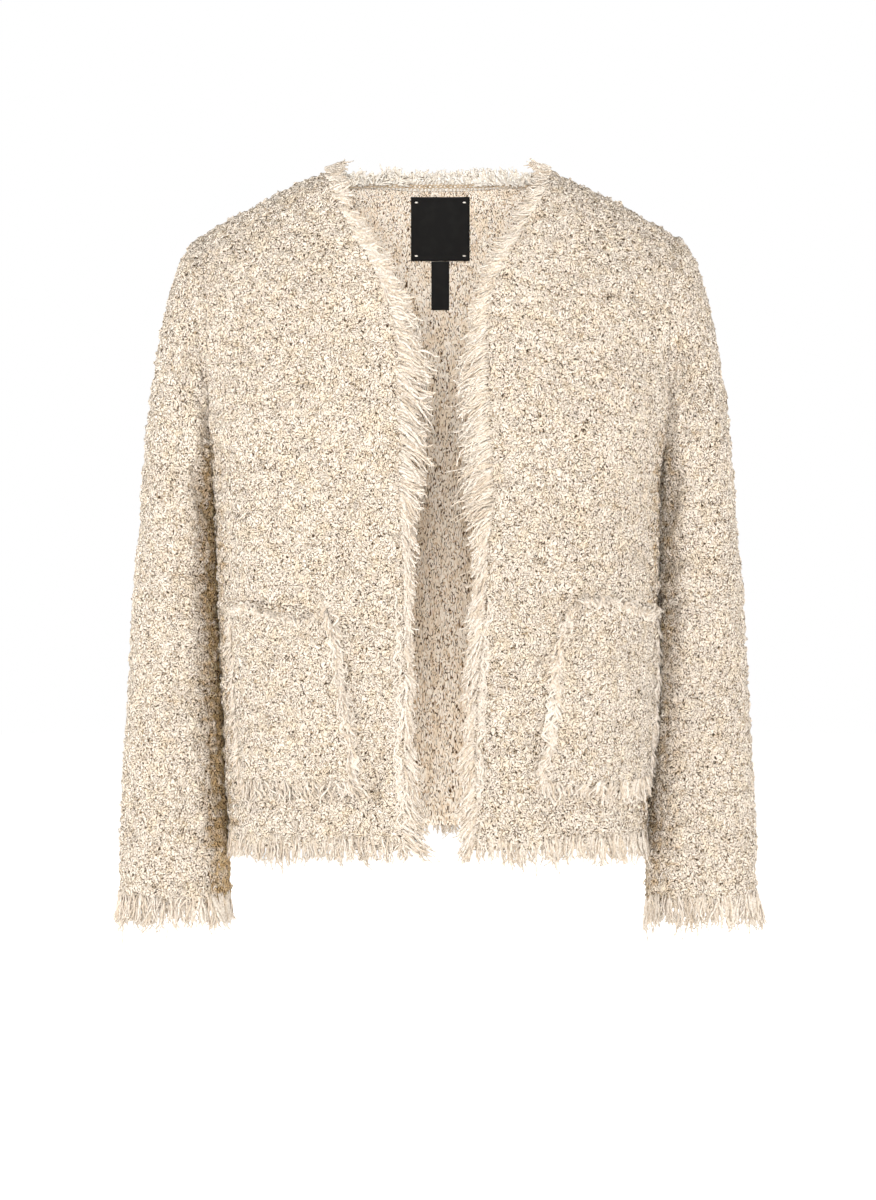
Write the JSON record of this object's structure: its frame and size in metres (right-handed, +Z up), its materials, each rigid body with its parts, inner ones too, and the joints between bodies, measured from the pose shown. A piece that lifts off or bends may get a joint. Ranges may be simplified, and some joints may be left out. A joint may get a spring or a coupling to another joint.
{
  "type": "open-front boucle knit jacket",
  "caption": "Hollow collarless boucle jacket in its worn form, with an open front, long sleeves, patch pockets and fringed edges",
  "frame": {"origin": "midway between the two points where the shoulder seams meet the neck, in the plane of the shoulder and side seams", "axes": "+Z up, -Y to the front of the wearer, +X to the wearer's left"},
  "size_m": [0.532, 0.234, 0.6434],
  "materials": {
    "boucle_knit": "looped cream boucle yarn with tan in its hollows, matte",
    "pocket_knit": "looped cream boucle yarn with tan in its hollows, matte",
    "fringe_yarn": "loose cream yarn ends, matte with a faint sheen",
    "neck_tape": "pale knitted tape with a chain stitch",
    "label_black": "black woven satin, bare"
  },
  "bodies": {
    "root": {"back": "boucle_knit", "front_left": "boucle_knit", "front_right": "boucle_knit", "sleeve_left": "boucle_knit", "sleeve_right": "boucle_knit", "pocket_left": "pocket_knit", "pocket_right": "pocket_knit", "neck_tape": "neck_tape", "label": "label_black", "label_loop": "label_black", "fringe_back_neck": "fringe_yarn", "fringe_front_left": "fringe_yarn", "fringe_front_right": "fringe_yarn", "fringe_hem_back": "fringe_yarn", "fringe_hem_left": "fringe_yarn", "fringe_hem_right": "fringe_yarn", "fringe_cuff_left": "fringe_yarn", "fringe_cuff_right": "fringe_yarn", "pocket_left_fringe_top": "fringe_yarn", "pocket_left_fringe_bottom": "fringe_yarn", "pocket_left_fringe_inner": "fringe_yarn", "pocket_left_fringe_outer": "fringe_yarn", "pocket_right_fringe_top": "fringe_yarn", "pocket_right_fringe_bottom": "fringe_yarn", "pocket_right_fringe_inner": "fringe_yarn", "pocket_right_fringe_outer": "fringe_yarn"}
  },
  "joints": []
}
